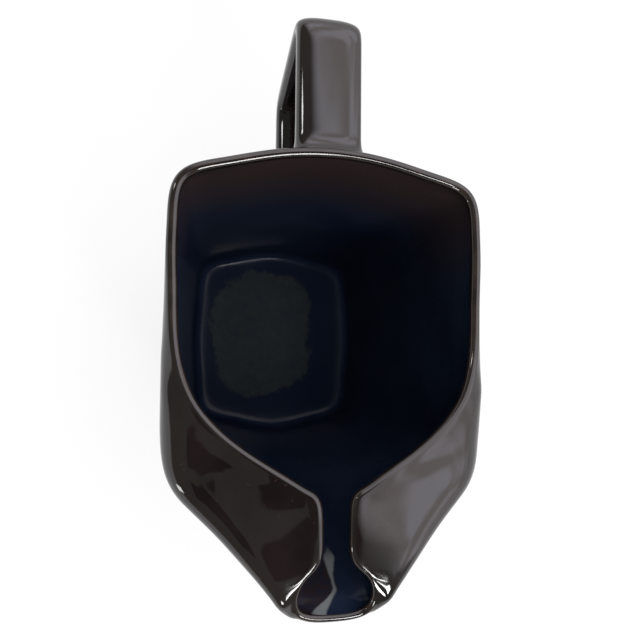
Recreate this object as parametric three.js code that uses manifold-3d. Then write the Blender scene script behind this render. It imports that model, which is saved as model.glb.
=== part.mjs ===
// A glazed ceramic water pitcher, seen in plan as a rounded house with its gable drawn out into a beak.
// The clay is one wall that rises from a slab floor and thins at the lip. Behind, it ends in a rounded rim.
// Along the beak it folds inwards into two wings that hold ice back, with a slot between them that opens
// into a spade-shaped lip. A flat strap handle stands at the back.
// Millimetres, +Z up, +Y towards the handle, -Y towards the lip, X = 0 is the plane of symmetry.
// The origin is the middle of the object's box, on the plane that it stands on.
import * as THREE from "three";
import Module from "manifold-3d";
import { mergeVertices } from "three/addons/utils/BufferGeometryUtils.js";

const wasm = await Module();
wasm.setup();

// Driving dimensions: clay
const wall = 4.6;
const lipWall = 3.2;
const thinningStart = -84;
const thinningEnd = -108;
const lutingGap = 0.3;

// Heights
const footHeight = 3;
const slabTop = 16;
const rimHeight = 180;
const hoodRise = 12;
const hoodRiseStart = 14;
const hoodRiseEnd = -83;
const lipDrop = 4.5;
const foldRise = 12;
const foldRiseStart = -44;
const foldRiseEnd = -100;
const foldDrop = 1.8;
const lipDropStart = -97;
const lipDropEnd = -117;

// Fold: the widest outline, over the outside. Rounding is the reach of the curve from each corner.
const backY = 78.7;
const backBow = 2.1;
const cornerX = 68.5;
const cornerY = 67;
const cornerRounding = 23;
const sideBow = 0.7;
const shoulderX = 69.7;
const shoulderY = -59.4;
const shoulderRounding = 16.7;
const shoulderLead = 32.5;
const beakBow = -0.9;
const cheekX = 26;
const cheekY = -104.8;
const tipCornerX = 17.2;
const tipCornerY = -117.2;
const tipY = -116.9;

// Mouth: the opening between the rounded edges of the clay
const sweepX = 62.8;
const sweepY = -31.6;
const sweepRounding = 48.9;
const slotWidth = 10.8;
const slotStartY = -67.2;
const slotEndY = -94.3;
const spadeTopX = 14.8;
const spadeTopY = -97.8;
const spadeX = 17;
const spadeY = -113.4;
const mouthTipY = -113.6;

// Floor, over the middle of the wall's thickness
const floorX = 52;
const floorY = 52;
const floorPeakY = 62.5;
const floorEndBow = 1.2;
const floorSideBow = 2.5;
const floorRounding = 13;
const heelRounding = 13;

// Profile of the wall: how late the beak leaves the upright, and how the fold turns over
const beakLateness = 1.7;
const beakStart = -20;
const foldReach = 12;
const bendDrop = 5;
const rolledWidth = 8;
const crestWidth = 2.5;
const turnShares = [0, 0.16, 0.55, 1];
const rimLateness = 3;

// Seams where the clay pieces are luted together
const hoodSeamDrop = 14;
const hoodSeamY = 6;
const lipSeamY = -97.5;
const notchHalfWidth = 62;
const notchLowZ = 60;
const notchBackY = -30;

// Foot ring
const footInset = 8;
const footWidth = 6;
const footChamfer = 0.8;

// Handle, over the middle of the strap
const strapWidth = 29.6;
const strapThickness = 11;
const strapSquareness = 3;
const topArmDrop = 10.5;
const handleTopY = 137;
const handleLowY = 121;
const lowArmDrop = 67.5;
const topBendReach = 13;
const lowBendReach = 13;
const rootInsideY = 66;
const flareLength = 10;
const flareSide = 0.6;
const flareTop = 2.2;

// Fineness
const outlineSpans = 16;
const coarseSpans = 10;
const coarseSteps = 2;
const fineSteps = 3;
const lipSpans = [13, 14];
const lipSteps = 5;
const heelSteps = 2;
const bendSteps = 3;
const crestTrials = 3;
const edgeSteps = 4;
const strapSteps = 3;
const strapQuarterSteps = 5;

const half = wall / 2;
const hoodSeamZ = rimHeight - hoodSeamDrop;
const topArmZ = rimHeight - topArmDrop;
const lowArmZ = rimHeight - lowArmDrop;
const middleZ = footHeight + half;
const floorRow = 2;
const heelRow = 4;
const wallRows = 6;
const kneeRow = heelRow + wallRows - 1;
const far = 400;
const mirror = new THREE.Vector3(-1, 1, 1);
const point = (x, y, z = 0) => new THREE.Vector3(x, y, z);

// Weight of the first of four control points of a uniform cubic spline, and of the second
const outerWeight = (s) => (s * s * s) / 6;
const innerWeight = (t) => (3 * t * t * t - 6 * t * t + 4) / 6;

// A point between the middle two of four control points, t from 0 to 1
function splinePoint([a, b, c, d], t) {
  return point(0, 0)
    .addScaledVector(a, outerWeight(1 - t))
    .addScaledVector(b, innerWeight(t))
    .addScaledVector(c, innerWeight(1 - t))
    .addScaledVector(d, outerWeight(t));
}

// A point at u along a spline whose ends are controlled by one added point each
function splineAt(first, controls, last, u) {
  const all = [first, ...controls, last];
  const span = Math.min(Math.floor(u), controls.length - 2);
  return splinePoint(all.slice(span, span + 4), u - span);
}

// Control points from corners. Each has its place, its rounding after it and before it, where the two
// differ, and how many points the edge after it has and how far that edge bows.
function controlsFrom(corners) {
  const controls = [];
  corners.forEach((corner, i) => {
    if (corner.rounding) {
      controls.push(towards(corner.at, corners[i - 1].at, leadOf(corner)));
    }
    controls.push(corner.at);
    if (corner.rounding) {
      controls.push(towards(corner.at, corners[i + 1].at, corner.rounding));
    }
    const next = corners[i + 1];
    if (next && corner.points) {
      const from = controls[controls.length - 1];
      const to = towards(next.at, corner.at, leadOf(next));
      for (let k = 1; k <= corner.points; k += 1) {
        controls.push(bowedPoint(from, to, k / (corner.points + 1), corner.bow || 0));
      }
    }
  });
  return controls;
}

const leadOf = (corner) => corner.lead || corner.rounding || 0;

// A point at a distance from one place towards another
function towards(from, to, distance) {
  const along = to.clone().sub(from).normalize();
  return from.clone().addScaledVector(along, distance);
}

// A point at t on the line from one point to another, bowed to the left of its direction
function bowedPoint(from, to, t, bow) {
  const along = to.clone().sub(from);
  const side = point(-along.y, along.x).normalize();
  return from.clone().addScaledVector(along, t).addScaledVector(side, bow * 4 * t * (1 - t));
}

// Half the clay's thickness, which thins towards the lip
function halfAt(y) {
  const thinned = THREE.MathUtils.smoothstep(-y, -thinningStart, -thinningEnd);
  return THREE.MathUtils.lerp(wall, lipWall, thinned) / 2;
}

// Half outlines run from the middle of the back, round the right side, to the middle of the front
function shifted(controls, distanceAt) {
  const last = controls.length - 1;
  return controls.map((control, i) => {
    const before = i > 0 ? controls[i - 1] : controls[1].clone().multiply(mirror);
    const after = i < last ? controls[i + 1] : controls[last - 1].clone().multiply(mirror);
    const along = after.clone().sub(before);
    const side = point(-along.y, along.x).normalize();
    return control.clone().addScaledVector(side, distanceAt(control.y));
  });
}

function outlineSteps(span) {
  if (lipSpans.includes(span)) {
    return lipSteps;
  }
  return span < coarseSpans ? coarseSteps : fineSteps;
}

function rowSteps(row) {
  if (row >= kneeRow) {
    return bendSteps;
  }
  return row >= floorRow && row < heelRow ? heelSteps : 1;
}

// The whole closed loop of a half outline
function loopFrom(controls) {
  const first = controls[1].clone().multiply(mirror);
  const last = controls[controls.length - 2].clone().multiply(mirror);
  const right = [];
  for (let span = 0; span < outlineSpans; span += 1) {
    for (let k = 0; k < outlineSteps(span); k += 1) {
      right.push(splineAt(first, controls, last, span + k / outlineSteps(span)));
    }
  }
  right.push(splineAt(first, controls, last, outlineSpans));
  const left = right.slice(1, -1).reverse();
  return [...right, ...left.map((p) => p.clone().multiply(mirror))];
}

// The fold's outline, grown outwards by a distance that can change along the pitcher
function foldLoop(distanceAt) {
  const shoulderCorner = {
    at: point(shoulderX, shoulderY),
    lead: shoulderLead,
    rounding: shoulderRounding,
    points: 4,
    bow: beakBow,
  };
  const corners = [
    { at: point(0, backY), points: 1, bow: backBow },
    { at: point(cornerX, cornerY), rounding: cornerRounding, points: 2, bow: sideBow },
    shoulderCorner,
    { at: point(cheekX, cheekY) },
    { at: point(tipCornerX, tipCornerY) },
    { at: point(0, tipY) },
  ];
  return loopFrom(shifted(controlsFrom(corners), distanceAt));
}

function mouthLoop() {
  const corners = [
    { at: point(0, backY - wall), points: 1, bow: backBow },
    { at: point(cornerX - wall, cornerY - wall), rounding: cornerRounding - wall, points: 1, bow: sideBow },
    { at: point(sweepX, sweepY), rounding: sweepRounding, points: 2 },
    { at: point(slotWidth / 2, slotStartY), points: 1 },
    { at: point(slotWidth / 2, slotEndY) },
    { at: point(spadeTopX, spadeTopY) },
    { at: point(spadeX, spadeY) },
    { at: point(0, mouthTipY) },
  ];
  return loopFrom(shifted(controlsFrom(corners), halfAt));
}

function floorLoop(inset = 0) {
  const shareX = 1 - inset / floorX;
  const shareY = 1 - inset / floorY;
  const corners = [
    { at: point(0, floorPeakY), points: 1, bow: floorEndBow },
    { at: point(floorX, floorY), rounding: floorRounding, points: 2, bow: floorSideBow },
    { at: point(floorX, -floorY), rounding: floorRounding, points: 6, bow: floorEndBow },
    { at: point(0, -floorPeakY) },
  ];
  return loopFrom(controlsFrom(corners)).map((p) => point(p.x * shareX, p.y * shareY));
}

// Heights of the clay's top along the mouth and along the fold
function edgeTop(y) {
  const rise = hoodRise * THREE.MathUtils.smoothstep(-y, -hoodRiseStart, -hoodRiseEnd);
  const drop = lipDrop * THREE.MathUtils.smoothstep(-y, -lipDropStart, -lipDropEnd);
  return rimHeight + rise - drop;
}

function foldTop(y) {
  const rise = foldRise * THREE.MathUtils.smoothstep(-y, -foldRiseStart, -foldRiseEnd);
  const drop = foldDrop * THREE.MathUtils.smoothstep(-y, -lipDropStart, -lipDropEnd);
  return rimHeight + rise - drop;
}

const mix = (a, b, t) => a.clone().lerp(b, t);
const raised = (p, z) => point(p.x, p.y, z);

// Control points up the middle of the clay at one place round the pitcher, from the floor to the edge
function clayColumn(floor, inner, fold, out, edge, wingWidth) {
  const foldZ = foldTop(fold.y) - halfAt(fold.y);
  const edgeZ = edgeTop(edge.y) - halfAt(edge.y);
  const lateness = 1 + (beakLateness - 1) * THREE.MathUtils.smoothstep(-fold.y, -beakStart, -tipY);
  const wallPoint = (z) => {
    const share = Math.pow((z - middleZ) / (foldZ - middleZ), lateness);
    return raised(mix(floor, fold, share), z);
  };
  const heelZ = middleZ + heelRounding;
  const kneeZ = foldZ - foldReach;
  const column = [
    point(0, 0, middleZ),
    raised(inner.clone().multiplyScalar(0.5), middleZ),
    raised(inner, middleZ),
    raised(floor, middleZ),
  ];
  for (let k = 0; k < wallRows; k += 1) {
    column.push(wallPoint(THREE.MathUtils.lerp(heelZ, kneeZ, k / (wallRows - 1))));
  }
  return [...column, ...foldPoints(column.slice(-2), wallPoint, foldZ, edgeZ, fold, out, edge, wingWidth)];
}

// The last control points of a column. A narrow edge goes on up the wall, a wide one turns over inwards.
// In between it rolls over by degrees. The crest of a bend is pushed out to touch the fold's outline.
function foldPoints(below, wallPoint, foldZ, edgeZ, fold, out, edge, wingWidth) {
  const rolled = THREE.MathUtils.smoothstep(wingWidth, 0, rolledWidth);
  const rest = edge.clone().sub(fold);
  const points = turnShares.map((share, k) => {
    const up = (k + 1) / turnShares.length;
    const rimZ = foldZ - foldReach * (1 - up);
    const rim = wallPoint(rimZ).addScaledVector(rest, Math.pow(up, rimLateness));
    rim.z += (edgeZ - foldZ) * up;
    const turned = k > 0 ? mix(fold, edge, share) : wallPoint(foldZ - bendDrop);
    const turnedZ = k > 0 ? THREE.MathUtils.lerp(foldZ, edgeZ, share) : foldZ - bendDrop;
    return mix(rim, raised(turned, turnedZ), rolled);
  });
  const wanted = -wingWidth * (1 - THREE.MathUtils.smoothstep(wingWidth, 0, crestWidth));
  for (let trial = 0; trial < crestTrials; trial += 1) {
    const all = [...below, ...points, points[3].clone().multiplyScalar(2).sub(points[2])];
    let crest = -far;
    for (let u = 0; u <= 4; u += 1 / 4) {
      const span = Math.min(Math.floor(u), 3);
      const here = splinePoint(all.slice(span, span + 4), u - span);
      crest = Math.max(crest, raised(here.sub(fold), 0).dot(out));
    }
    points.slice(0, 3).forEach((p) => p.addScaledVector(out, wanted - crest));
  }
  return points;
}

// The middle surface of the clay as rings of points, with the floor's middle left out
function middleRings() {
  const floor = floorLoop();
  const inner = floorLoop(heelRounding);
  const fold = foldLoop((y) => -halfAt(y));
  const outside = foldLoop(() => 0);
  const edge = mouthLoop();
  const out = fold.map((p, i) => outside[i].clone().sub(p).normalize());
  const widths = edge.map((p, i) => {
    const nearest = Math.min(...fold.map((q) => q.distanceTo(p)));
    return Math.min(nearest, Math.max(fold[i].clone().sub(p).dot(out[i]), 0));
  });
  const columns = floor.map((p, i) => clayColumn(p, inner[i], fold[i], out[i], edge[i], widths[i]));
  const rows = columns[0].length;
  const rings = [];
  for (let row = 0; row < rows - 1; row += 1) {
    for (let k = 1; k <= rowSteps(row); k += 1) {
      rings.push(columns.map((column) => {
        const first = point(-column[1].x, -column[1].y, middleZ);
        const last = column[rows - 1].clone().multiplyScalar(2).sub(column[rows - 2]);
        return splineAt(first, column, last, row + k / rowSteps(row));
      }));
    }
  }
  return rings;
}

// Directions at each point of the middle surface: out through the outer face, and up along the clay
function directions(rings) {
  return rings.map((ring, r) => ring.map((p, i) => {
    const below = r > 0 ? rings[r - 1][i] : point(0, 0, middleZ);
    const above = r < rings.length - 1 ? rings[r + 1][i] : p;
    const up = above.clone().sub(below).normalize();
    const round = ring[(i + 1) % ring.length].clone().sub(ring[(i + ring.length - 1) % ring.length]);
    const out = up.clone().cross(round).normalize();
    return { out, up: round.cross(out).normalize() };
  }));
}

// The middle surface moved out to one face: side is 1 for the outer one and -1 for the inner one
function faceRings(rings, ways, side, more = 0) {
  const moved = (p, way) => p.clone().addScaledVector(way.out, side * (halfAt(p.y) + more));
  return rings.map((ring, r) => ring.map((p, i) => moved(p, ways[r][i])));
}

// A closed surface through rings of points, ended by a fan at each pole, or joined end to end without
function loft(rings, startPole, endPole) {
  const count = rings[0].length;
  const places = rings.flat().flatMap((p) => [p.x, p.y, p.z]);
  const triangles = [];
  const joins = startPole ? rings.length - 1 : rings.length;
  for (let r = 0; r < joins; r += 1) {
    const here = r * count;
    const there = ((r + 1) % rings.length) * count;
    for (let i = 0; i < count; i += 1) {
      const j = (i + 1) % count;
      triangles.push(here + i, there + i, there + j, here + i, there + j, here + j);
    }
  }
  if (startPole) {
    const start = rings.length * count;
    const lastRing = (rings.length - 1) * count;
    places.push(startPole.x, startPole.y, startPole.z, endPole.x, endPole.y, endPole.z);
    for (let i = 0; i < count; i += 1) {
      const j = (i + 1) % count;
      triangles.push(start, i, j, lastRing + i, start + 1, lastRing + j);
    }
  }
  const geometry = new THREE.BufferGeometry();
  geometry.setAttribute("position", new THREE.Float32BufferAttribute(places, 3));
  geometry.setIndex(triangles);
  return geometry;
}

function solidFrom(geometry) {
  const bare = geometry.clone();
  bare.deleteAttribute("normal");
  bare.deleteAttribute("uv");
  const merged = mergeVertices(bare, 1e-4);
  const vertProperties = new Float32Array(merged.attributes.position.array);
  const triVerts = new Uint32Array(merged.index.array);
  return new wasm.Manifold(new wasm.Mesh({ numProp: 3, vertProperties, triVerts }));
}

// A box between two corners
function block(low, high) {
  const size = high.clone().sub(low);
  const box = new THREE.BoxGeometry(size.x, size.y, size.z);
  const middle = mix(low, high, 0.5);
  return solidFrom(box.translate(middle.x, middle.y, middle.z));
}

// The clay in one piece, before it is parted along its seams
function clayShell(rings, ways) {
  const last = rings.length - 1;
  const edge = [];
  for (let k = 1; k < edgeSteps; k += 1) {
    const angle = (Math.PI * k) / edgeSteps;
    edge.push(rings[last].map((p, i) => p.clone()
      .addScaledVector(ways[last][i].out, halfAt(p.y) * Math.cos(angle))
      .addScaledVector(ways[last][i].up, halfAt(p.y) * Math.sin(angle))));
  }
  const outer = faceRings(rings, ways, 1);
  const inner = faceRings(rings, ways, -1).reverse();
  const under = point(0, 0, middleZ - half);
  const over = point(0, 0, middleZ + half);
  return solidFrom(loft([...outer, ...edge, ...inner], under, over));
}

// Everything within the outer face and a luting gap, from the heel to well above the rim
function bodyBlock(rings, ways) {
  const outer = faceRings(rings, ways, 1, lutingGap);
  const heelRing = floorRow + (heelRow - floorRow) * heelSteps - 1;
  const sides = outer.slice(heelRing, heelRing + wallRows);
  const fold = foldLoop(() => lutingGap).map((p) => raised(p, foldTop(p.y) - half));
  const top = fold.map((p) => raised(p, rimHeight + hoodRise + foldReach));
  return solidFrom(loft([...sides, fold, top], point(0, 0, sides[0][0].z), point(0, 0, top[0].z)));
}

// The space of the notch that the beak fills: a wedge, point down, through the front wall
function beakNotch(clearance) {
  const slope = Math.atan2(notchHalfWidth, hoodSeamZ - notchLowZ);
  const lowest = notchLowZ + clearance / Math.sin(slope);
  const height = far - lowest;
  const wedge = new THREE.Shape();
  wedge.moveTo(0, lowest);
  wedge.lineTo(height * Math.tan(slope), far);
  wedge.lineTo(-height * Math.tan(slope), far);
  wedge.closePath();
  const prism = new THREE.ExtrudeGeometry(wedge, { depth: far, bevelEnabled: false });
  return solidFrom(prism.rotateX(Math.PI / 2).translate(0, notchBackY, 0));
}

function clayPieces(rings, ways) {
  const shell = clayShell(rings, ways);
  const gap = lutingGap / 2;
  const slab = block(point(-far, -far, -far), point(far, far, slabTop - gap));
  const overSlab = block(point(-far, -far, slabTop + gap), point(far, far, far));
  const overHoodSeam = block(point(-far, -far, hoodSeamZ - gap), point(far, hoodSeamY + gap, far));
  const hoodSpace = block(point(-far, -far, hoodSeamZ + gap), point(far, hoodSeamY - gap, far));
  const lipSpace = block(point(-far, -far, -far), point(far, lipSeamY - gap, far));
  const behindLip = block(point(0, lipSeamY + gap, -far), point(far, far, far));
  const behindLipLeft = block(point(-far, lipSeamY + gap, -far), point(0, far, far));
  const upper = shell.intersect(overSlab);
  const walls = upper.subtract(overHoodSeam);
  const hood = upper.intersect(hoodSpace);
  return {
    base_slab: shell.intersect(slab),
    body_wall: walls.subtract(beakNotch(-gap)),
    spout_wall: walls.intersect(beakNotch(gap)),
    left_wing: hood.intersect(behindLipLeft),
    right_wing: hood.intersect(behindLip),
    pouring_lip: hood.intersect(lipSpace),
  };
}

function footRing() {
  const loop = (inset, z) => floorLoop(inset).filter((p, i) => i % 2 === 0).map((p) => raised(p, z));
  const top = footHeight - lutingGap;
  const outside = footInset;
  const inside = footInset + footWidth;
  return solidFrom(loft([
    loop(inside - footChamfer, 0),
    loop(outside + footChamfer, 0),
    loop(outside, footChamfer),
    loop(outside, top),
    loop(inside, top),
    loop(inside, footChamfer),
  ]));
}

// The strap's section in its own width and thickness: an oval whose flats are the longer, the higher its
// squareness is. Its upper half can be taller.
function strapSection(width, thickness, lift) {
  const section = [];
  const bulge = (v) => Math.sign(v) * Math.pow(Math.abs(v), 2 / strapSquareness);
  for (let k = 0; k < 4 * strapQuarterSteps; k += 1) {
    const angle = (Math.PI / 2) * (k / strapQuarterSteps);
    const x = (width / 2) * bulge(Math.cos(angle));
    const reach = thickness / 2 + (k < 2 * strapQuarterSteps ? lift : 0);
    section.push([x, reach * bulge(Math.sin(angle))]);
  }
  return section;
}

function handle(cutter) {
  const controls = controlsFrom([
    { at: point(rootInsideY, topArmZ), points: 3 },
    { at: point(handleTopY, topArmZ), rounding: topBendReach, points: 2 },
    { at: point(handleLowY, lowArmZ), rounding: lowBendReach, points: 2 },
    { at: point(rootInsideY, lowArmZ) },
  ]);
  const count = controls.length;
  const first = controls[0].clone().multiplyScalar(2).sub(controls[1]);
  const last = controls[count - 1].clone().multiplyScalar(2).sub(controls[count - 2]);
  const rings = [];
  const steps = (count - 1) * strapSteps;
  for (let step = 0; step <= steps; step += 1) {
    const u = step / strapSteps;
    const here = splineAt(first, controls, last, u);
    const ahead = splineAt(first, controls, last, Math.min(u + 0.01, count - 1));
    const behind = splineAt(first, controls, last, Math.max(u - 0.01, 0));
    const along = ahead.sub(behind).normalize();
    const flare = 1 - THREE.MathUtils.smoothstep(here.x - backY, 0, flareLength);
    const lift = here.y > (topArmZ + lowArmZ) / 2 ? flareTop * flare : 0;
    const section = strapSection(strapWidth + 2 * flareSide * flare, strapThickness, lift);
    rings.push(section.map(([x, z]) => point(x, here.x - along.y * z, here.y + along.x * z)));
  }
  const middle = (ring) => ring.reduce((sum, p) => sum.add(p), point(0, 0)).divideScalar(ring.length);
  const strap = solidFrom(loft(rings, middle(rings[0]), middle(rings[steps])));
  return strap.subtract(cutter);
}

// Colours of the glaze and of the bare clay, as seen in daylight
const glaze = { color: 0x2d2624, roughness: 0.12, metalness: 0 };
const innerGlaze = { color: 0x1c1a1c, roughness: 0.14, metalness: 0 };
const bareClay = { color: 0x8a6a52, roughness: 0.85, metalness: 0 };

function meshFrom(name, solid, finish) {
  const { vertProperties, triVerts } = solid.getMesh();
  const geometry = new THREE.BufferGeometry();
  geometry.setAttribute("position", new THREE.BufferAttribute(new Float32Array(vertProperties), 3));
  geometry.setIndex(new THREE.BufferAttribute(new Uint32Array(triVerts), 1));
  geometry.computeVertexNormals();
  const mesh = new THREE.Mesh(geometry, new THREE.MeshStandardMaterial(finish));
  mesh.name = name;
  return mesh;
}

function buildPitcher() {
  const rings = middleRings();
  const ways = directions(rings);
  const clay = clayPieces(rings, ways);
  const pitcher = new THREE.Group();
  pitcher.add(meshFrom("foot_ring", footRing(), bareClay));
  Object.entries(clay).forEach(([name, solid]) => {
    pitcher.add(meshFrom(name, solid, name === "base_slab" ? innerGlaze : glaze));
  });
  pitcher.add(meshFrom("handle", handle(bodyBlock(rings, ways)), glaze));
  const box = new THREE.Box3().setFromObject(pitcher);
  pitcher.position.y = -(box.min.y + box.max.y) / 2;
  return pitcher;
}

export default buildPitcher();
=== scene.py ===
"""The looks of the water pitcher: its clay in one smooth surface, the glaze, the light and the camera.

The constants of the shape are in millimetres, as in the part's source. The meshes are in metres, and so are
the places that the materials work with.
"""
import math

import bpy
import numpy as np
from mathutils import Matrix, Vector


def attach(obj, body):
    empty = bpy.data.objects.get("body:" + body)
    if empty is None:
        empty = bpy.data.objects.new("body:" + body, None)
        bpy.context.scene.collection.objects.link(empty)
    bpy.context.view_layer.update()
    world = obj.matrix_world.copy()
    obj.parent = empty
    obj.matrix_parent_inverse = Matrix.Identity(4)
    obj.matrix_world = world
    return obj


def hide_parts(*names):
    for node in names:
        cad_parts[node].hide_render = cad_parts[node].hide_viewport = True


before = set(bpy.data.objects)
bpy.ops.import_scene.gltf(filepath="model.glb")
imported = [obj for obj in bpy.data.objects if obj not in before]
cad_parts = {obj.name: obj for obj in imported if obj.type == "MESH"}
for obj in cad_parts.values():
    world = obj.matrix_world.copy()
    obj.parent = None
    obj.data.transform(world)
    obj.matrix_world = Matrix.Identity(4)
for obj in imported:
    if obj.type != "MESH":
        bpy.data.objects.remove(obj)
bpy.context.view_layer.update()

MM = 0.001

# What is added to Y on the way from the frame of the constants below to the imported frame
SHIFT_Y = -12.028

# Clay
WALL = 4.6
LIP_WALL = 3.2
THINNING = (-84, -108)

# Heights
FOOT_HEIGHT = 3
RIM_HEIGHT = 180
HOOD_RISE = 12
HOOD_RISE_SPAN = (14, -83)
LIP_DROP = 4.5
FOLD_RISE = 12
FOLD_RISE_SPAN = (-44, -100)
FOLD_DROP = 1.8
LIP_DROP_SPAN = (-97, -117)

# The fold's outline
BACK_Y = 78.7
BACK_BOW = 2.1
CORNER = (68.5, 67)
CORNER_ROUNDING = 23
SIDE_BOW = 0.7
SHOULDER = (69.7, -59.4)
SHOULDER_ROUNDING = 16.7
SHOULDER_LEAD = 32.5
BEAK_BOW = -0.9
CHEEK = (26, -104.8)
TIP_CORNER = (17.2, -117.2)
TIP_Y = -116.9

# The mouth's outline
SWEEP = (62.8, -31.6)
SWEEP_ROUNDING = 48.9
SLOT_WIDTH = 10.8
SLOT_START_Y = -67.2
SLOT_END_Y = -94.3
SPADE_TOP = (14.8, -97.8)
SPADE = (17, -113.4)
MOUTH_TIP_Y = -113.6

# The floor's outline
FLOOR = (52, 52)
FLOOR_PEAK_Y = 61.7
FLOOR_END_BOW = 0.9
FLOOR_SIDE_BOW = 2.5
FLOOR_ROUNDING = 25
HEEL_ROUNDING = 13

# Profile of the wall and of the fold
BEAK_LATENESS = 1.7
BEAK_START = -20
FOLD_REACH = 12
BEND_DROP = 5
ROLLED_WIDTH = 8
CREST_WIDTH = 2.5
TURN_SHARES = (0, 0.16, 0.55, 1)
RIM_LATENESS = 3
WALL_ROWS = 6

# Foot ring
FOOT_INSET = 8
FOOT_WIDTH = 6
FOOT_CHAMFER = 0.8
FOOT_CHAMFER_ROUND = 0.3
FOOT_OVERLAP = 0.4

# Handle
STRAP_WIDTH = 29.6
STRAP_THICKNESS = 11
STRAP_SQUARENESS = 3
TOP_ARM_Z = 169.5
HANDLE_TOP_Y = 137
HANDLE_LOW_Y = 121
LOW_ARM_Z = 112.5
BEND_REACH = 13
ROOT_INSIDE_Y = 66
FLARE_LENGTH = 9
FLARE_SIDE = 1.1
FLARE_TOP = 2.4
FLARE_UNDER = 1.4
FLARE_POWER = 3
TOP_ROOT_Y = 78.2
LOW_ROOT_Y = 72.8
ROOT_DEPTH = 2

# Fineness
OUTLINE_SPANS = 16
OUTLINE_STEPS = 12
ROW_STEPS = 4
EDGE_STEPS = 10
CREST_TRIALS = 4
CREST_SAMPLES = 33
STRAP_STEPS = 24
STRAP_QUARTER_STEPS = 12
SURFACE_TANGENT_STEP = 0.001
STRAP_TANGENT_STEP = 0.01

MIDDLE_Z = FOOT_HEIGHT + WALL / 2


def smoothstep(x, low, high):
    t = np.clip((np.asarray(x, float) - low) / (high - low), 0, 1)
    return t * t * (3 - 2 * t)


def lerp(a, b, t):
    return a + (b - a) * t


def unit(v):
    return v / np.linalg.norm(v, axis=-1, keepdims=True)


def spline_point(four, t):
    """A point between the middle two of four control points of a uniform cubic spline."""
    s = 1 - t
    a, b, c, d = four
    inner_t = (3 * t**3 - 6 * t**2 + 4) / 6
    inner_s = (3 * s**3 - 6 * s**2 + 4) / 6
    return a * (s**3 / 6) + b * inner_t + c * inner_s + d * (t**3 / 6)


def spline_at(every, u):
    """A point at u along a spline. Its first and last control point only steer its ends."""
    span = min(int(math.floor(u)), len(every) - 4)
    return spline_point(every[span : span + 4], u - span)


def towards(start, end, distance):
    return start + unit(end - start) * distance


def corner(x, y, rounding=0, lead=0, points=0, bow=0):
    """A corner, how far its rounding reaches before it (lead) and after it, and the edge that follows."""
    at = np.array([x, y], float)
    return {"at": at, "rounding": rounding, "lead": lead or rounding, "points": points, "bow": bow}


def controls_from(corners):
    """Control points from corners, each with its rounding, and points on the edge after it."""
    controls = []
    for i, here in enumerate(corners):
        if here["rounding"]:
            controls.append(towards(here["at"], corners[i - 1]["at"], here["lead"]))
        controls.append(here["at"])
        if here["rounding"]:
            controls.append(towards(here["at"], corners[i + 1]["at"], here["rounding"]))
        if i + 1 == len(corners):
            break
        after = corners[i + 1]
        start = controls[-1]
        end = towards(after["at"], here["at"], after["lead"])
        along = end - start
        side = unit(np.array([-along[1], along[0]]))
        for k in range(1, here["points"] + 1):
            t = k / (here["points"] + 1)
            controls.append(start + along * t + side * here["bow"] * 4 * t * (1 - t))
    return np.array(controls)


FLIP = np.array([-1.0, 1.0])


def half_at(y):
    """Half the clay's thickness, which thins towards the lip."""
    return lerp(WALL, LIP_WALL, smoothstep(-np.asarray(y), -THINNING[0], -THINNING[1])) / 2


def shifted(controls, distance):
    """Control points moved out of the outline by a distance, one for each."""
    before = np.vstack([controls[1] * FLIP, controls[:-1]])
    after = np.vstack([controls[1:], controls[-2] * FLIP])
    along = after - before
    side = unit(np.stack([-along[:, 1], along[:, 0]], 1))
    return controls + side * np.asarray(distance)[:, None]


def loop_from(controls):
    """The closed loop of a half outline that runs from the back round the right side to the front."""
    every = np.vstack([controls[1] * FLIP, controls, controls[-2] * FLIP])
    steps = OUTLINE_SPANS * OUTLINE_STEPS
    right = np.array([spline_at(every, k / OUTLINE_STEPS) for k in range(steps + 1)])
    return np.vstack([right, right[1:-1][::-1] * FLIP])


def fold_loop(distance_at):
    controls = controls_from([
        corner(0, BACK_Y, points=1, bow=BACK_BOW),
        corner(*CORNER, rounding=CORNER_ROUNDING, points=2, bow=SIDE_BOW),
        corner(*SHOULDER, rounding=SHOULDER_ROUNDING, lead=SHOULDER_LEAD, points=4, bow=BEAK_BOW),
        corner(*CHEEK),
        corner(*TIP_CORNER),
        corner(0, TIP_Y),
    ])
    return loop_from(shifted(controls, distance_at(controls[:, 1])))


def mouth_loop():
    controls = controls_from([
        corner(0, BACK_Y - WALL, points=1, bow=BACK_BOW),
        corner(CORNER[0] - WALL, CORNER[1] - WALL, CORNER_ROUNDING - WALL, points=1, bow=SIDE_BOW),
        corner(*SWEEP, rounding=SWEEP_ROUNDING, points=2),
        corner(SLOT_WIDTH / 2, SLOT_START_Y, points=1),
        corner(SLOT_WIDTH / 2, SLOT_END_Y),
        corner(*SPADE_TOP),
        corner(*SPADE),
        corner(0, MOUTH_TIP_Y),
    ])
    return loop_from(shifted(controls, half_at(controls[:, 1])))


def floor_loop(inset=0):
    controls = controls_from([
        corner(0, FLOOR_PEAK_Y, points=1, bow=FLOOR_END_BOW),
        corner(*FLOOR, rounding=FLOOR_ROUNDING, points=2, bow=FLOOR_SIDE_BOW),
        corner(FLOOR[0], -FLOOR[1], rounding=FLOOR_ROUNDING, points=6, bow=FLOOR_END_BOW),
        corner(0, -FLOOR_PEAK_Y),
    ])
    return loop_from(controls) * [1 - inset / FLOOR[0], 1 - inset / FLOOR[1]]


def edge_top(y):
    rise = HOOD_RISE * smoothstep(-y, -HOOD_RISE_SPAN[0], -HOOD_RISE_SPAN[1])
    return RIM_HEIGHT + rise - LIP_DROP * smoothstep(-y, -LIP_DROP_SPAN[0], -LIP_DROP_SPAN[1])


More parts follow.
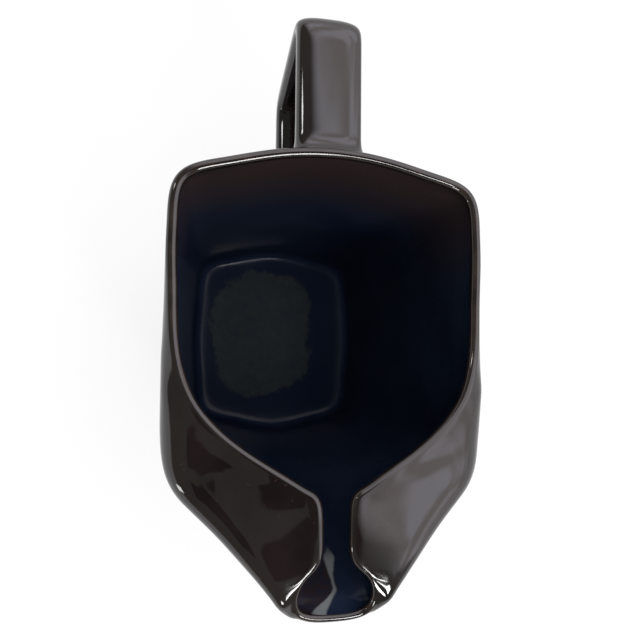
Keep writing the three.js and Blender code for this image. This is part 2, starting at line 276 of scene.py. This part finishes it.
def fold_top(y):
    rise = FOLD_RISE * smoothstep(-y, -FOLD_RISE_SPAN[0], -FOLD_RISE_SPAN[1])
    return RIM_HEIGHT + rise - FOLD_DROP * smoothstep(-y, -LIP_DROP_SPAN[0], -LIP_DROP_SPAN[1])


def raised(p, z):
    """Points in plan at a height, which is one number or one for each."""
    return np.column_stack([p, np.broadcast_to(z, len(p))])


def clay_columns():
    """Rows of control points of the clay's middle surface, from the floor's middle to the edge."""
    floor = floor_loop()
    inner = floor_loop(HEEL_ROUNDING)
    fold = fold_loop(lambda y: -half_at(y))
    outside = fold_loop(lambda y: 0 * y)
    edge = mouth_loop()
    out = unit(outside - fold)
    nearest = np.array([np.linalg.norm(fold - p, axis=1).min() for p in edge])
    width = np.minimum(nearest, np.maximum(((fold - edge) * out).sum(1), 0))
    fold_z = fold_top(fold[:, 1]) - half_at(fold[:, 1])
    edge_z = edge_top(edge[:, 1]) - half_at(edge[:, 1])
    lateness = 1 + (BEAK_LATENESS - 1) * smoothstep(-fold[:, 1], -BEAK_START, -TIP_Y)

    def wall_point(z):
        share = ((z - MIDDLE_Z) / (fold_z - MIDDLE_Z)) ** lateness
        return raised(lerp(floor, fold, share[:, None]), z)

    heel_z = MIDDLE_Z + HEEL_ROUNDING
    knee_z = fold_z - FOLD_REACH
    rows = [raised(0 * floor, MIDDLE_Z), raised(inner / 2, MIDDLE_Z)]
    rows += [raised(inner, MIDDLE_Z), raised(floor, MIDDLE_Z)]
    rows += [wall_point(lerp(heel_z, knee_z, k / (WALL_ROWS - 1))) for k in range(WALL_ROWS)]

    rolled = smoothstep(width, 0, ROLLED_WIDTH)[:, None]
    rest = raised(edge - fold, 0)
    turning = []
    for k, share in enumerate(TURN_SHARES):
        up = (k + 1) / len(TURN_SHARES)
        rim = wall_point(fold_z - FOLD_REACH * (1 - up)) + rest * up**RIM_LATENESS
        rim[:, 2] += (edge_z - fold_z) * up
        turned = raised(lerp(fold, edge, share), lerp(fold_z, edge_z, share))
        if k == 0:
            turned = wall_point(fold_z - BEND_DROP)
        turning.append(lerp(rim, turned, rolled))

    # The crest of the bend touches the fold's outline
    wanted = -width * (1 - smoothstep(width, 0, CREST_WIDTH))
    out_3d = raised(out, 0)
    for _ in range(CREST_TRIALS):
        every = rows[-2:] + turning + [2 * turning[3] - turning[2]]
        crest = np.full(len(fold), -np.inf)
        for u in np.linspace(0, len(every) - 3, CREST_SAMPLES):
            here = spline_at(every, u)[:, :2]
            crest = np.maximum(crest, ((here - fold) * out).sum(1))
        turning[:3] = [row + out_3d * (wanted - crest)[:, None] for row in turning[:3]]
    return rows + turning


def clay_surface():
    """Rings of the middle surface, with the way out of each point and the way up the clay."""
    columns = clay_columns()
    first = columns[1] * [-1, -1, 1]
    last = 2 * columns[-1] - columns[-2]
    every = [first, *columns, last]
    rows = len(columns) - 1
    tiny = SURFACE_TANGENT_STEP
    rings = []
    for k in range(1, rows * ROW_STEPS + 1):
        u = k / ROW_STEPS
        ring = spline_at(every, u)
        up = unit(spline_at(every, min(u + tiny, rows)) - spline_at(every, u - tiny))
        round_way = np.roll(ring, -1, 0) - np.roll(ring, 1, 0)
        out = unit(np.cross(up, round_way))
        rings.append((ring, out, unit(np.cross(round_way, out))))
    return rings


def grid_faces(rings, count, closed=False):
    """Faces between rings of count points each, one after another in the list of points."""
    faces = []
    for r in range(rings if closed else rings - 1):
        here = r * count
        there = (r + 1) % rings * count
        for i in range(count):
            j = (i + 1) % count
            faces.append((here + i, here + j, there + j, there + i))
    return faces


def add_piece(name, points, faces, materials, stands_for):
    """A smooth mesh from points in millimetres, which rides on the body and stands for its nodes."""
    moved = (np.asarray(points) + [0, SHIFT_Y, 0]) * MM
    mesh = bpy.data.meshes.new(name)
    mesh.from_pydata([tuple(p) for p in moved], [], faces)
    mesh.validate()
    mesh.shade_smooth()
    for material in materials:
        mesh.materials.append(material)
    piece = bpy.data.objects.new(name, mesh)
    bpy.context.collection.objects.link(piece)
    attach(piece, "root")
    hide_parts(*stands_for)
    return piece


def clay_body(outer_glaze, inner_glaze):
    """The slab, the walls, the hood and the lip in one surface, as the glaze joins them."""
    rings = clay_surface()
    ring, out, up = rings[-1]
    half = half_at(ring[:, 1])[:, None]
    points = [np.array([[0, 0, FOOT_HEIGHT]])]
    points += [p + o * half_at(p[:, 1])[:, None] for p, o, u in rings]
    inside = [0.0] * len(rings)
    for k in range(1, EDGE_STEPS):
        angle = math.pi * k / EDGE_STEPS
        points.append(ring + out * half * math.cos(angle) + up * half * math.sin(angle))
        inside.append(k / EDGE_STEPS)
    points += [p - o * half_at(p[:, 1])[:, None] for p, o, u in reversed(rings)]
    inside += [1.0] * len(rings)
    points.append(np.array([[0, 0, FOOT_HEIGHT + WALL]]))
    count = len(ring)
    rows = len(inside)
    grid = [tuple(1 + v for v in face) for face in grid_faces(rows, count)]
    end = 1 + rows * count
    last = end - count
    fans = [(0, 1 + (i + 1) % count, 1 + i) for i in range(count)]
    fans += [(end, last + i, last + (i + 1) % count) for i in range(count)]
    nodes = ["base_slab", "body_wall", "spout_wall", "left_wing", "right_wing", "pouring_lip"]
    finishes = [outer_glaze, inner_glaze]
    piece = add_piece("clay_body", np.vstack(points), grid + fans, finishes, nodes)
    inner_row = len(rings) + EDGE_STEPS - 1
    finish = np.repeat(np.arange(rows - 1) >= inner_row, count)
    finish = np.concatenate([finish, np.arange(2 * count) >= count])
    piece.data.polygons.foreach_set("material_index", finish.astype(np.int32))
    attribute = piece.data.attributes.new("inside", "FLOAT", "POINT")
    values = np.concatenate([[0.0], np.repeat(inside, count), [1.0]])
    attribute.data.foreach_set("value", values.astype(np.float32))


def foot(material):
    """The ring that the pitcher stands on, with rounded edges. It reaches a little into the slab."""
    inside = FOOT_INSET + FOOT_WIDTH
    rounding = FOOT_CHAMFER * FOOT_CHAMFER_ROUND
    top = FOOT_HEIGHT + FOOT_OVERLAP
    profile = [
        (inside, FOOT_CHAMFER),
        (inside - rounding, rounding),
        (inside - FOOT_CHAMFER, 0),
        (FOOT_INSET + FOOT_CHAMFER, 0),
        (FOOT_INSET + rounding, rounding),
        (FOOT_INSET, FOOT_CHAMFER),
        (FOOT_INSET, top),
        (inside, top),
    ]
    rings = [raised(floor_loop(inset), z) for inset, z in profile]
    faces = grid_faces(len(rings), len(rings[0]), closed=True)
    add_piece("foot", np.vstack(rings), faces, [material], ["foot_ring"])


def squared(share):
    """A sine or cosine drawn towards a square, so that an oval gets nearly flat sides."""
    return math.copysign(abs(share) ** (2 / STRAP_SQUARENESS), share)


def strap_section(half_width, above, below):
    """An oval with nearly flat sides, which reaches further above its middle or below it."""
    section = []
    for k in range(4 * STRAP_QUARTER_STEPS):
        angle = math.pi / 2 * k / STRAP_QUARTER_STEPS
        z = squared(math.sin(angle))
        section.append((squared(math.cos(angle)) * half_width, z * (above if z > 0 else below)))
    return section


def strap_handle(material):
    """The strap from just inside the wall round its two bends. It flares where it meets the wall."""
    controls = controls_from([
        corner(ROOT_INSIDE_Y, TOP_ARM_Z, points=3),
        corner(HANDLE_TOP_Y, TOP_ARM_Z, rounding=BEND_REACH, points=2),
        corner(HANDLE_LOW_Y, LOW_ARM_Z, rounding=BEND_REACH, points=2),
        corner(ROOT_INSIDE_Y, LOW_ARM_Z),
    ])
    every = np.vstack([2 * controls[0] - controls[1], controls, 2 * controls[-1] - controls[-2]])
    most = len(controls) - 1
    rings = []
    for step in range(most * STRAP_STEPS + 1):
        u = step / STRAP_STEPS
        here = spline_at(every, u)
        upper = here[1] > (TOP_ARM_Z + LOW_ARM_Z) / 2
        beyond = here[0] - (TOP_ROOT_Y if upper else LOW_ROOT_Y)
        if beyond < -ROOT_DEPTH:
            continue
        before = spline_at(every, max(u - STRAP_TANGENT_STEP, 0))
        after = spline_at(every, min(u + STRAP_TANGENT_STEP, most))
        along = unit(after - before)
        flare = (1 - min(max(beyond / FLARE_LENGTH, 0), 1)) ** FLARE_POWER
        above = STRAP_THICKNESS / 2 + flare * (FLARE_TOP if upper else FLARE_UNDER)
        below = STRAP_THICKNESS / 2 + flare * FLARE_UNDER
        section = strap_section(STRAP_WIDTH / 2 + FLARE_SIDE * flare, above, below)
        rings.append([(x, here[0] - along[1] * z, here[1] + along[0] * z) for x, z in section])
    count = len(rings[0])
    points = np.array(rings).reshape(-1, 3)
    faces = [face[::-1] for face in grid_faces(len(rings), count)]
    faces.append(tuple(range(count)))
    faces.append(tuple(range(len(points) - 1, len(points) - 1 - count, -1)))
    add_piece("strap_handle", points, faces, [material], ["handle"])


def make(tree, kind, inputs=(), **settings):
    """A node with its settings. Its inputs, by name or number, are values or other sockets."""
    made = tree.nodes.new("ShaderNode" + kind)
    for name, value in settings.items():
        setattr(made, name, value)
    for name, value in dict(inputs).items():
        if isinstance(value, bpy.types.NodeSocket):
            tree.links.new(value, made.inputs[name])
        else:
            made.inputs[name].default_value = value
    return made


def calculate(tree, operation, *values):
    return make(tree, "Math", enumerate(values), operation=operation).outputs[0]


def band(tree, value, low, high, start=0.0, end=1.0):
    """A smooth change from start to end while the value goes from low to high."""
    inputs = {"Value": value, "From Min": low, "From Max": high, "To Min": start, "To Max": end}
    return make(tree, "MapRange", inputs, interpolation_type="SMOOTHSTEP").outputs[0]


def mixed(tree, share, first, second):
    """A colour between two, each a socket or three numbers."""
    first, second = [c if isinstance(c, bpy.types.NodeSocket) else (*c, 1) for c in (first, second)]
    return make(tree, "Mix", {0: share, 6: first, 7: second}, data_type="RGBA").outputs[2]


def rounded_shape(tree, x, y, middle, half_size):
    """1 inside a shape between an oval and a rectangle, and 0 outside it."""
    reach = 0
    for value, centre, half in zip((x, y), middle, half_size):
        share = calculate(tree, "DIVIDE", calculate(tree, "SUBTRACT", value, centre), half)
        cube = calculate(tree, "POWER", calculate(tree, "ABSOLUTE", share), 3)
        reach = calculate(tree, "ADD", cube, reach)
    return band(tree, reach, 1.15, 0.85)


def spread(tree, value, most):
    """A value from 0 to 1 spread evenly from minus the most to the most."""
    return make(tree, "MapRange", {"Value": value, "To Min": -most, "To Max": most}).outputs[0]


def noise(tree, place, scale, detail=2.0, roughness=0.5):
    inputs = {"Vector": place, "Scale": scale, "Detail": detail, "Roughness": roughness}
    return make(tree, "TexNoise", inputs).outputs["Fac"]


def new_material(name):
    material = bpy.data.materials.new(name)
    material.use_nodes = True
    tree = material.node_tree
    return material, tree, tree.nodes["Principled BSDF"]


# Colours, linear
GLAZE_THICK = (0.007, 0.0048, 0.0048)
GLAZE_THIN = (0.0115, 0.0076, 0.0074)
GLAZE_EDGE = (0.035, 0.023, 0.0175)
GLAZE_SPECK = (0.06, 0.03, 0.025)
# Painted reflection: the pale streak down the lip's trough
PAINTED_REFLECTION_GREY = (0.15, 0.16, 0.165)
LIP_BROWN = (0.019, 0.013, 0.0135)
# Painted shade: the navy of the inside stands for its bluish shade
NAVY_SHADE_DEEP = (0.0076, 0.0125, 0.0285)
NAVY_SHADE_PALE = (0.011, 0.0175, 0.036)
# Painted shade: the inside's floor darker still
FLOOR_NAVY_SHADE = (0.0035, 0.0078, 0.0205)
FLOOR_PATCH = (0.018, 0.023, 0.026)
INNER_BROWN = (0.036, 0.023, 0.022)
CLAY_DARK = (0.2, 0.125, 0.08)
CLAY_PALE = (0.36, 0.25, 0.17)

# Gloss
OUTER_IOR = 1.65
INNER_IOR = 1.26
OUTER_ROUGHNESS = (0.03, 0.075)
INNER_ROUGHNESS = (0.19, 0.27)
BARE_ROUGHNESS = 0.85
FOOT_ROUGHNESS = (0.78, 0.92)

# Scales of the patterns: about how many of their patches lie on a metre
CLOUD_SCALE = 32
GLOSS_SCALE = 50
BROKEN_EDGE_SCALE = 90
SPECK_SCALE = 650
GLAZE_END_SCALE = 55
OUTER_HOLLOW_SCALE = 24
INNER_HOLLOW_SCALE = 26
PIT_SCALE = 240
PIT_SPREAD_SCALE = 45
GRIT_SCALE = 1500
CLAY_GRAIN_SCALE = 420
CLAY_CLOUD_SCALE = 40
PATCH_EDGE_SCALE = 60
PATCH_CURD_SCALE = 220
REFLECTION_WANDER_SCALE = 140
LIP_MOTTLE_SCALE = 330

# Depths of the relief
OUTER_HOLLOW_DEPTH = 0.0002
INNER_HOLLOW_DEPTH = 0.0005
PIT_DEPTH = 0.00006
GRIT_DEPTH = 0.0003

# The lowest height at which the outer glaze ends, how much that varies, and how softly it ends
GLAZE_END = 0.0035
GLAZE_END_VARIES = 0.004
GLAZE_END_SOFT = (0.0002, -0.0003)

# The floor's cloud in X and Y, how far its edge is torn, and the heights between which the floor ends
PATCH_MIDDLE = (-0.006, -0.0082)
PATCH_HALF_SIZE = (0.0335, 0.042)
PATCH_TEAR = 0.013
FLOOR_TOP = (0.0085, 0.0078)

# Where the brown of the back's inside starts and is full, in Y and in height
BROWN_Y = (0, 0.06)
BROWN_Z = (0.1, 0.172)

# The lip, from where it starts in Y, and a painted reflection: a pale streak down its trough. The streak's
# middle and half width change between heights, and so does the turn that it takes at the top.
LIP_START = (-0.1, -0.107)
LIP_HEIGHT_START = (0.15, 0.162)
REFLECTION_FALL = (0.15, 0.177)
REFLECTION_MIDDLE = (0.0048, 0.003)
REFLECTION_TURN = (0.175, 0.187)
REFLECTION_TURN_SHIFT = -0.009
REFLECTION_WANDER = 0.001
REFLECTION_NARROWS = (0.156, 0.172)
REFLECTION_HALF_WIDTH = (0.0027, 0.0006)
REFLECTION_WIDENS = (0.175, 0.186)
REFLECTION_WIDENING = 0.0022
REFLECTION_EDGE = (0.0006, -0.0008)
BROWN_SIDE = (0.003, -0.001)


def glaze_clouds(tree, place):
    """Broad soft patches where the glaze is thinner or thicker, from 0 to 1."""
    return band(tree, noise(tree, place, CLOUD_SCALE, 4, 0.6), 0.35, 0.65)


def gloss_clouds(tree, place, roughness):
    return band(tree, noise(tree, place, GLOSS_SCALE, 4), 0.3, 0.75, *roughness)


def clay_colour(tree, place):
    return mixed(tree, noise(tree, place, CLAY_GRAIN_SCALE, 4), CLAY_DARK, CLAY_PALE)


def bumped(tree, height, depth, under=None):
    """A normal with relief, which can lie on the relief under it."""
    inputs = {"Height": height, "Distance": depth}
    if under is not None:
        inputs["Normal"] = under
    return make(tree, "Bump", inputs).outputs[0]


def outer_glaze_material():
    """Brown-black gloss glaze that breaks brown on the edges and leaves the foot bare."""
    material, tree, shader = new_material("brown_black_glaze")
    place = make(tree, "TexCoord").outputs["Object"]
    axes = make(tree, "SeparateXYZ", {0: place}).outputs
    colour = mixed(tree, glaze_clouds(tree, place), GLAZE_THICK, GLAZE_THIN)

    # The attribute is 0 outside and 1 inside, and halfway it is the middle of the clay's edge
    through = make(tree, "Attribute", attribute_name="inside").outputs["Fac"]
    off_edge = calculate(tree, "ABSOLUTE", calculate(tree, "SUBTRACT", through, 0.5))
    broken = band(tree, noise(tree, place, BROKEN_EDGE_SCALE), 0.3, 0.75, 0.0, 0.6)
    edge = calculate(tree, "MULTIPLY", band(tree, off_edge, 0.5, 0.1), broken)
    colour = mixed(tree, edge, colour, GLAZE_EDGE)
    specks = band(tree, noise(tree, place, SPECK_SCALE, 1), 0.74, 0.8, 0.0, 0.5)
    colour = mixed(tree, specks, colour, GLAZE_SPECK)

    varies = noise(tree, place, GLAZE_END_SCALE, 3)
    glaze_end = calculate(tree, "MULTIPLY_ADD", varies, GLAZE_END_VARIES, GLAZE_END)
    bare = band(tree, calculate(tree, "SUBTRACT", axes[2], glaze_end), *GLAZE_END_SOFT)
    colour = mixed(tree, bare, colour, clay_colour(tree, place))
    tree.links.new(colour, shader.inputs["Base Color"])

    gloss = gloss_clouds(tree, place, OUTER_ROUGHNESS)
    rough = make(tree, "Mix", {0: bare, 2: gloss, 3: BARE_ROUGHNESS}).outputs[0]
    tree.links.new(rough, shader.inputs["Roughness"])
    shader.inputs["IOR"].default_value = OUTER_IOR

    hollows = bumped(tree, noise(tree, place, OUTER_HOLLOW_SCALE, 1), OUTER_HOLLOW_DEPTH)
    cells = make(tree, "TexVoronoi", {"Vector": place, "Scale": PIT_SCALE}).outputs["Distance"]
    few = band(tree, noise(tree, place, PIT_SPREAD_SCALE), 0.3, 0.6)
    pits = band(tree, calculate(tree, "ADD", cells, few), 0.05, 0.12)
    pitted = bumped(tree, pits, PIT_DEPTH, hollows)
    grit = calculate(tree, "MULTIPLY", noise(tree, place, GRIT_SCALE, 3), bare)
    tree.links.new(bumped(tree, grit, GRIT_DEPTH, pitted), shader.inputs["Normal"])
    return material


def lip_colour(tree, place, axes, colour):
    """The colour with a painted reflection, a pale streak down the trough of the lip, and brown on one side
    of it.
    """
    up = axes[2]
    starts = band(tree, up, *LIP_HEIGHT_START)
    in_lip = calculate(tree, "MULTIPLY", band(tree, axes[1], *LIP_START), starts)

    turn = band(tree, up, *REFLECTION_TURN, 0.0, REFLECTION_TURN_SHIFT)
    middle = calculate(tree, "ADD", band(tree, up, *REFLECTION_FALL, *REFLECTION_MIDDLE), turn)
    wander = spread(tree, noise(tree, place, REFLECTION_WANDER_SCALE), REFLECTION_WANDER)
    across = calculate(tree, "ADD", calculate(tree, "SUBTRACT", axes[0], middle), wander)

    mottled = band(tree, noise(tree, place, LIP_MOTTLE_SCALE, 5, 0.7), 0.3, 0.7, 0.35, 1.0)
    brown = calculate(tree, "MULTIPLY", band(tree, across, *BROWN_SIDE), mottled)
    colour = mixed(tree, calculate(tree, "MULTIPLY", brown, in_lip), colour, LIP_BROWN)

    narrows = band(tree, up, *REFLECTION_NARROWS, *REFLECTION_HALF_WIDTH)
    widens = band(tree, up, *REFLECTION_WIDENS, 0.0, REFLECTION_WIDENING)
    half_width = calculate(tree, "ADD", calculate(tree, "MULTIPLY", narrows, starts), widens)
    beyond = calculate(tree, "SUBTRACT", calculate(tree, "ABSOLUTE", across), half_width)
    # Painted reflection: a pale streak where the trough would mirror bright light
    painted_reflection = calculate(tree, "MULTIPLY", band(tree, beyond, *REFLECTION_EDGE), in_lip)
    return mixed(tree, painted_reflection, colour, PAINTED_REFLECTION_GREY)


def floor_colour(tree, place, axes, colour):
    """The colour with the floor painted a darker navy shade, and on it a paler cloud with a torn edge."""
    on_floor = band(tree, axes[2], *FLOOR_TOP)
    # Painted shade: the floor a darker navy
    colour = mixed(tree, on_floor, colour, FLOOR_NAVY_SHADE)
    torn = spread(tree, noise(tree, place, PATCH_EDGE_SCALE, 6, 0.7), PATCH_TEAR)
    x = calculate(tree, "ADD", axes[0], torn)
    y = calculate(tree, "SUBTRACT", axes[1], torn)
    cloud = rounded_shape(tree, x, y, PATCH_MIDDLE, PATCH_HALF_SIZE)
    curdled = band(tree, noise(tree, place, PATCH_CURD_SCALE, 5, 0.7), 0.3, 0.7, 0.6, 1.0)
    patch = calculate(tree, "MULTIPLY", calculate(tree, "MULTIPLY", cloud, on_floor), curdled)
    return mixed(tree, patch, colour, FLOOR_PATCH)


def inner_glaze_material():
    """Satin glaze, painted navy-black as the inside's bluish shade, brown high up at the back, with a paler
    cloud on the floor.
    """
    material, tree, shader = new_material("glaze_with_navy_shade")
    place = make(tree, "TexCoord").outputs["Object"]
    axes = make(tree, "SeparateXYZ", {0: place}).outputs
    # Painted shade: the inside is navy-black, as bluish shade
    colour = mixed(tree, glaze_clouds(tree, place), NAVY_SHADE_DEEP, NAVY_SHADE_PALE)
    colour = floor_colour(tree, place, axes, colour)
    high_back = calculate(tree, "MULTIPLY", band(tree, axes[1], *BROWN_Y), band(tree, axes[2], *BROWN_Z))
    colour = mixed(tree, high_back, colour, INNER_BROWN)
    colour = lip_colour(tree, place, axes, colour)
    tree.links.new(colour, shader.inputs["Base Color"])
    tree.links.new(gloss_clouds(tree, place, INNER_ROUGHNESS), shader.inputs["Roughness"])
    shader.inputs["IOR"].default_value = INNER_IOR
    hollows = bumped(tree, noise(tree, place, INNER_HOLLOW_SCALE, 2), INNER_HOLLOW_DEPTH)
    tree.links.new(hollows, shader.inputs["Normal"])
    return material


def bare_clay_material():
    """Gritty fired clay without glaze."""
    material, tree, shader = new_material("bare_clay")
    place = make(tree, "TexCoord").outputs["Object"]
    grain = noise(tree, place, CLAY_GRAIN_SCALE, 4)
    clouds = band(tree, noise(tree, place, CLAY_CLOUD_SCALE, 3), 0.35, 0.7)
    shade = calculate(tree, "MULTIPLY", grain, band(tree, clouds, 0, 1, 0.7, 1.1))
    tree.links.new(mixed(tree, shade, CLAY_DARK, CLAY_PALE), shader.inputs["Base Color"])
    tree.links.new(band(tree, grain, 0.3, 0.7, *FOOT_ROUGHNESS), shader.inputs["Roughness"])
    grit = bumped(tree, noise(tree, place, GRIT_SCALE, 3), GRIT_DEPTH)
    tree.links.new(grit, shader.inputs["Normal"])
    return material


# The floor that the pitcher stands on
STAGE_SIZE = 30
STAGE_COLOUR = (0.88, 0.88, 0.88, 1)
STAGE_ROUGHNESS = 0.9
STAGE_OWN_LIGHT = 0.8


def add_floor():
    """A white floor that keeps the pitcher's shadow. Seen and reflected, it has light of its own."""
    bpy.ops.mesh.primitive_plane_add(size=STAGE_SIZE, location=(0, 0, 0))
    floor = bpy.context.object
    floor.name = "floor"
    material, tree, shader = new_material("pale_floor")
    shader.inputs["Base Color"].default_value = STAGE_COLOUR
    shader.inputs["Roughness"].default_value = STAGE_ROUGHNESS
    path = make(tree, "LightPath").outputs
    seen = calculate(tree, "MAXIMUM", path["Is Camera Ray"], path["Is Glossy Ray"])
    seen = calculate(tree, "MAXIMUM", seen, path["Is Transmission Ray"])
    share = calculate(tree, "MULTIPLY", seen, STAGE_OWN_LIGHT)
    white = make(tree, "Emission", {"Color": (1, 1, 1, 1), "Strength": 1.0})
    surface = make(tree, "MixShader", {0: share, 1: shader.outputs[0], 2: white.outputs[0]})
    tree.links.new(surface.outputs[0], tree.nodes["Material Output"].inputs["Surface"])
    floor.data.materials.append(material)


# The camera: its focal length in pixels of the picture, its place in millimetres, and its turns about the
# X, Y and Z axes in degrees
PICTURE_WIDTH = 640
FOCAL_LENGTH = 632.85
SENSOR_WIDTH = 36
CAMERA_PLACE = (-63.08, -10.767, 436.996)
CAMERA_TURNS = (3.1038, -12.6993, 0.5434)


def add_camera():
    """The photograph's camera, as fitted to the pitcher's left-right symmetry."""
    data = bpy.data.cameras.new("camera")
    data.sensor_width = SENSOR_WIDTH
    data.lens = SENSOR_WIDTH * FOCAL_LENGTH / PICTURE_WIDTH
    data.clip_start = 0.01
    camera = bpy.data.objects.new("camera", data)
    bpy.context.collection.objects.link(camera)
    camera.location = (Vector(CAMERA_PLACE) + Vector((0, SHIFT_Y, 0))) * MM
    camera.rotation_euler = [math.radians(turn) for turn in CAMERA_TURNS]
    bpy.context.scene.camera = camera


# Lamps: azimuth, elevation, width and height in degrees as seen from the pitcher, and brightness
WINDOWS = {
    "upper_window": (-63, 59, 9, 5, 24),
    "lower_window": (-63, 48, 9, 8, 24),
    "front_window": (-90, 40, 9, 7, 24),
    "back_strip": (142, 40, 4, 8, 13),
    "left_strip": (-154, 12, 5, 14, 8),
}
OVERHEAD = (0, 90, 40, 40, 4)
LAMP_DISTANCE = 1.1
LAMP_AIM = (0, -0.05, 0.17)


def add_window(name, azimuth, elevation, width, height, brightness):
    """A lamp that, seen from the pitcher, has a direction and a size in degrees."""
    data = bpy.data.lights.new(name, "AREA")
    data.shape = "RECTANGLE"
    data.size = 2 * LAMP_DISTANCE * math.tan(math.radians(width / 2))
    data.size_y = 2 * LAMP_DISTANCE * math.tan(math.radians(height / 2))
    data.energy = brightness * math.pi * data.size * data.size_y
    turn = math.radians(azimuth)
    rise = math.radians(elevation)
    way = Vector((math.cos(rise) * math.cos(turn), math.cos(rise) * math.sin(turn), math.sin(rise)))
    lamp = bpy.data.objects.new(name, data)
    bpy.context.collection.objects.link(lamp)
    lamp.location = Vector(LAMP_AIM) + way * LAMP_DISTANCE
    lamp.rotation_euler = way.to_track_quat("Z", "Y").to_euler()
    return lamp


ROOM_DIM = (0.16, 0.175, 0.15)
ROOM_DARK = (0.008, 0.008, 0.008)
BACKDROP = (0.95, 0.95, 0.95)
SOFT_LIGHT = (2.1, 2.05, 2.25)
SOFT_SHADE = (1.38, 1.27, 1.25)

# The room is told by the direction (x, y, z) that one looks in. The soft light grows from one value of
# x + SIDE_TILT * y to another, and ends at the zenith. It is weaker towards the horizon.
SIDE_TILT = 0.64
SIDE_EDGE = (0.1, 0.44)
ZENITH_EDGE = (0.97, 0.93)
HORIZON_FADE = (0, 0.6)
HORIZON_SHARE = (0.3, 1)

# The soft light's dark corner in front: beyond values of y + CORNER_TILT * x, and of x
CORNER_TILT = 0.55
CORNER_EDGE = (0.02, -0.05)
CORNER_START = (0.42, 0.52)
CORNER_SHADE = 0.85

SOFT_CLOUD_SCALE = 3.6
SOFT_CLOUD_EDGE = (0.34, 0.57)
BACKDROP_TOP = (0.28, 0.14)

# Dark things in the dim part: the middle in x and y of the direction, and the half sizes
DARK_SHAPES = [
    ((0.05, -0.22), (0.22, 0.12)),
    ((0.22, 0.06), (0.19, 0.18)),
    ((-0.48, -0.24), (0.14, 0.13)),
    ((-0.36, -0.03), (0.05, 0.06)),
]
DARK_WOBBLE = 0.05
DARK_WOBBLE_SCALE = 7


def soft_share(tree, axes):
    """How much of the soft light there is in a direction, from 0 to 1."""
    side = band(tree, calculate(tree, "MULTIPLY_ADD", axes[1], SIDE_TILT, axes[0]), *SIDE_EDGE)
    in_front = calculate(tree, "MULTIPLY_ADD", axes[0], CORNER_TILT, axes[1])
    shade = band(tree, in_front, *CORNER_EDGE, 0.0, CORNER_SHADE)
    shade = calculate(tree, "MULTIPLY", shade, band(tree, axes[0], *CORNER_START))
    side = calculate(tree, "MULTIPLY", side, calculate(tree, "SUBTRACT", 1.0, shade))
    side = calculate(tree, "MULTIPLY", side, band(tree, axes[2], *ZENITH_EDGE))
    return calculate(tree, "MULTIPLY", side, band(tree, axes[2], *HORIZON_FADE, *HORIZON_SHARE))


def dark_share(tree, way, axes):
    """1 in the dark things and 0 beside them, with crooked outlines."""
    wobble = spread(tree, noise(tree, way, DARK_WOBBLE_SCALE, 1), DARK_WOBBLE)
    x = calculate(tree, "ADD", axes[0], wobble)
    y = calculate(tree, "SUBTRACT", axes[1], wobble)
    dark = 0
    for middle, half_size in DARK_SHAPES:
        dark = calculate(tree, "MAXIMUM", rounded_shape(tree, x, y, middle, half_size), dark)
    return dark


def add_room():
    """Soft light from the right and from behind over a pale backdrop. The rest is dim, with dark things."""
    world = bpy.data.worlds.new("room")
    bpy.context.scene.world = world
    world.use_nodes = True
    tree = world.node_tree
    way = make(tree, "TexCoord").outputs["Generated"]
    axes = make(tree, "SeparateXYZ", {0: way}).outputs
    clouds = band(tree, noise(tree, way, SOFT_CLOUD_SCALE, 1.5), *SOFT_CLOUD_EDGE)
    light = mixed(tree, clouds, SOFT_SHADE, SOFT_LIGHT)
    dim = mixed(tree, dark_share(tree, way, axes), ROOM_DIM, ROOM_DARK)
    room = mixed(tree, soft_share(tree, axes), dim, light)
    colour = mixed(tree, band(tree, axes[2], *BACKDROP_TOP), room, BACKDROP)
    tree.links.new(colour, tree.nodes["Background"].inputs["Color"])


def add_lights():
    """The room, its windows, and a lamp overhead that the glaze doesn't mirror."""
    add_room()
    for name, window in WINDOWS.items():
        add_window(name, *window)
    overhead = add_window("overhead", *OVERHEAD)
    overhead.visible_glossy = False


outer_glaze = outer_glaze_material()
clay_body(outer_glaze, inner_glaze_material())
strap_handle(outer_glaze)
foot(bare_clay_material())
add_floor()
add_camera()
add_lights()

bpy.context.scene.view_settings.view_transform = "Standard"
